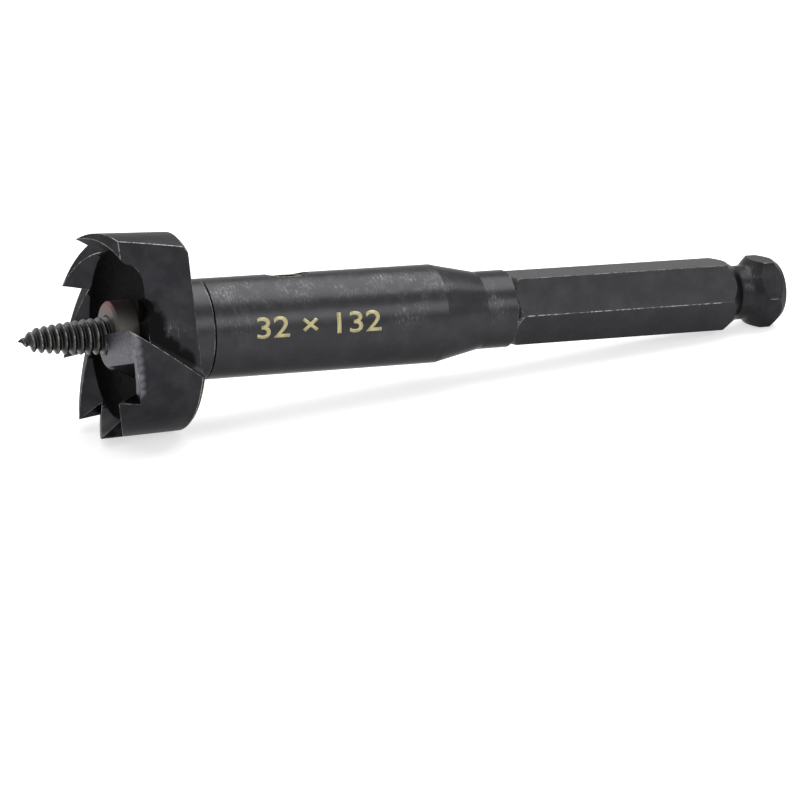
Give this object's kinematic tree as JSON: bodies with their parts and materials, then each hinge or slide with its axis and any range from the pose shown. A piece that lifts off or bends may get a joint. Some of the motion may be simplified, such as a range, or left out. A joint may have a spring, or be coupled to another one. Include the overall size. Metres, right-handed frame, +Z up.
{
  "type": "self-feed boring bit",
  "caption": "Self-feed wood boring bit with a toothed cup head, cutting lip and chip gap, a threaded feed screw held by a set screw, and a hex shank with a locking groove.",
  "frame": {"origin": "middle of the lying bit's bounding box, on the surface it lies on", "axes": "+Z up from that surface, +X along the bit's length from the feed screw's point to the shank's end"},
  "size_m": [0.1322, 0.0318, 0.0324],
  "materials": {
    "head_steel": "black oxide, satin, with bright worn edges",
    "shank_steel": "black oxide, satin, lightly scuffed",
    "screw_steel": "oiled dark steel",
    "set_screw_steel": "black oxide"
  },
  "bodies": {
    "root": {"cutter_head": "head_steel", "shank": "shank_steel", "feed_screw": "screw_steel", "set_screw": "set_screw_steel"}
  },
  "joints": []
}
